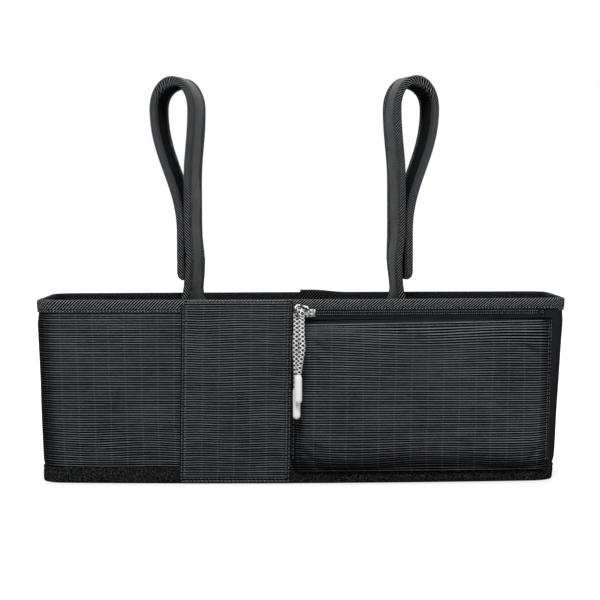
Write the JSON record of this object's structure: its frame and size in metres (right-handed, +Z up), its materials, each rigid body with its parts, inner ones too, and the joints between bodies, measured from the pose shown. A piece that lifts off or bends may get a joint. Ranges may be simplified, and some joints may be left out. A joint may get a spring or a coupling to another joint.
{
  "type": "stroller organizer",
  "caption": "Padded open-topped bag with cup spaces, a zipped front pocket and padded strap loops that hang it from a handlebar.",
  "frame": {"origin": "middle of the base's underside, on the surface the bag stands on", "axes": "+X along the bag towards the zipped pocket's end, -Y towards the front, +Z up"},
  "size_m": [0.3734, 0.1556, 0.289],
  "materials": {
    "ribbed_cloth": "horizontally ribbed woven polyester",
    "smooth_cloth": "plain matte woven polyester",
    "felt": "dull brushed felt",
    "twill_tape": "diagonal twill tape",
    "strap_cloth": "smooth padded cloth with a soft sheen",
    "fastener_cloth": "hook and loop tape",
    "lining_cloth": "smooth lining",
    "board": "matte board under a lining",
    "cord_braid": "white and black braid",
    "white_plastic": "satin moulded",
    "black_nylon": "satin nylon",
    "dark_metal": "black painted zinc",
    "steel": "polished wire"
  },
  "bodies": {
    "bag": {"front_wall": "ribbed_cloth", "rear_wall": "smooth_cloth", "left_side_wall": "smooth_cloth", "right_side_wall": "smooth_cloth", "base_panel": "smooth_cloth", "base_board": "board", "base_band": "felt", "rim_tape": "twill_tape", "centre_panel": "ribbed_cloth", "pocket_panel": "ribbed_cloth", "pocket_top_band": "smooth_cloth", "zip_tape_upper": "smooth_cloth", "zip_tape_lower": "smooth_cloth", "zip_teeth": "black_nylon", "zip_stop_left": "dark_metal", "zip_stop_right": "dark_metal", "left_cup_divider": "lining_cloth", "right_cup_divider": "lining_cloth", "left_divider_tape": "twill_tape", "right_divider_tape": "twill_tape", "left_strap_pad": "strap_cloth", "left_strap_edge_front": "twill_tape", "left_strap_edge_rear": "twill_tape", "left_strap_hook_tape": "fastener_cloth", "left_strap_loop_tape": "fastener_cloth", "right_strap_pad": "strap_cloth", "right_strap_edge_front": "twill_tape", "right_strap_edge_rear": "twill_tape", "right_strap_hook_tape": "fastener_cloth", "right_strap_loop_tape": "fastener_cloth"},
    "zip_pull": {"zip_slider": "dark_metal", "pull_ring": "steel", "pull_cord_bight": "cord_braid", "pull_cord_short_leg": "cord_braid", "pull_cord_long_leg": "cord_braid", "cord_tip_short": "white_plastic", "cord_tip_long": "white_plastic"}
  },
  "joints": [
    {"name": "zip_slide", "type": "slide", "parent": "bag", "child": "zip_pull", "axis": [0.999, 0.0458, 0], "range_m": [0, 0.1566]}
  ]
}
